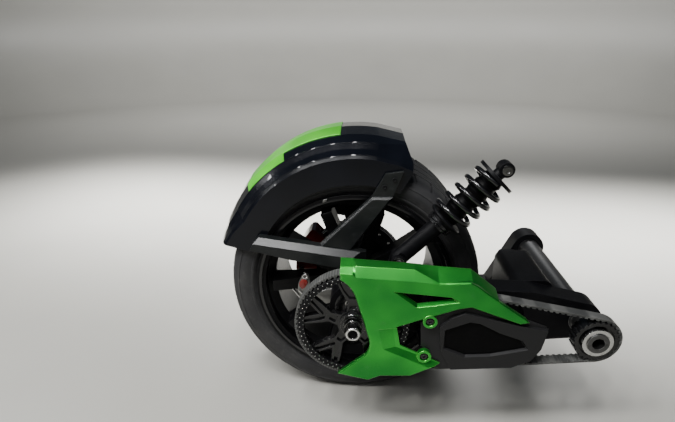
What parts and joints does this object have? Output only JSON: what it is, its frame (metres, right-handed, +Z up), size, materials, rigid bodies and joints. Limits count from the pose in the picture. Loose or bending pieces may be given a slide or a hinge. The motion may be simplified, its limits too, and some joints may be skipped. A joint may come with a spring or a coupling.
{
  "type": "rear wheel and swingarm unit",
  "caption": "Rear end of a three-wheeled roadster: belt-driven wheel in a swingarm with shock absorber, brake, hugger fender and faceted belt guards.",
  "frame": {"origin": "middle of the swingarm pivot bore", "axes": "+X forward, +Y to the vehicle's left along the pivot axis, +Z up"},
  "size_m": [1.0093, 0.6313, 0.7655],
  "materials": {
    "tyre": "dark rubber with ringed sidewalls",
    "wheel_black": "gloss black paint",
    "bright_steel": "turned and ground",
    "plated": "bright plated",
    "black_iron": "black coated",
    "arm_black": "satin black powder coat",
    "green": "metallic green lacquer",
    "gloss_black": "deep gloss moulding",
    "matt_black": "grained moulding",
    "satin_grey": "satin dark grey",
    "belt": "ribbed belt rubber",
    "boot": "soft black rubber",
    "caliper_red": "dark red lacquer",
    "cast_alloy": "bare casting"
  },
  "bodies": {
    "swingarm": {"drive_belt": "belt", "arm_right": "arm_black", "arm_left": "arm_black", "yoke": "arm_black", "pivot_tube": "bright_steel", "pivot_collar": "bright_steel", "bearing_right": "bright_steel", "bearing_left": "bright_steel", "brake_carrier": "cast_alloy", "caliper_bracket": "cast_alloy", "brake_caliper": "caliper_red", "shock_body": "arm_black", "spring_seat_lower": "arm_black", "shock_spring": "wheel_black", "shock_boot": "boot", "shock_top": "arm_black", "shock_clevis": "arm_black", "shock_bolt": "plated", "hugger": "gloss_black", "hugger_crown": "green", "hugger_rail_right": "satin_grey", "hugger_rail_left": "satin_grey", "hugger_brace_right": "satin_grey", "hugger_brace_left": "satin_grey", "belt_guard": "green", "lower_guard": "matt_black", "guard_pillar_1": "arm_black", "guard_pillar_2": "arm_black", "guard_pillar_3": "arm_black"},
    "wheel": {"tyre": "tyre", "rim": "wheel_black", "brake_disc": "bright_steel", "disc_carrier": "wheel_black", "spindle": "bright_steel", "axle_nut_right": "plated", "axle_nut_left": "plated", "driven_pulley": "black_iron"},
    "front_pulley": {"drive_pulley": "black_iron"}
  },
  "joints": [
    {"name": "wheel_spin", "type": "hinge", "parent": "swingarm", "child": "wheel", "pos_m": [-0.58, 0, 0.025], "axis": [0, 1, 0], "continuous": true},
    {"name": "pulley_spin", "type": "hinge", "parent": "swingarm", "child": "front_pulley", "pos_m": [0, 0, 0], "axis": [0, 1, 0], "continuous": true}
  ],
  "couplings": [
    {"joint": "pulley_spin", "follows": "wheel_spin", "ratio": 2.5417}
  ]
}
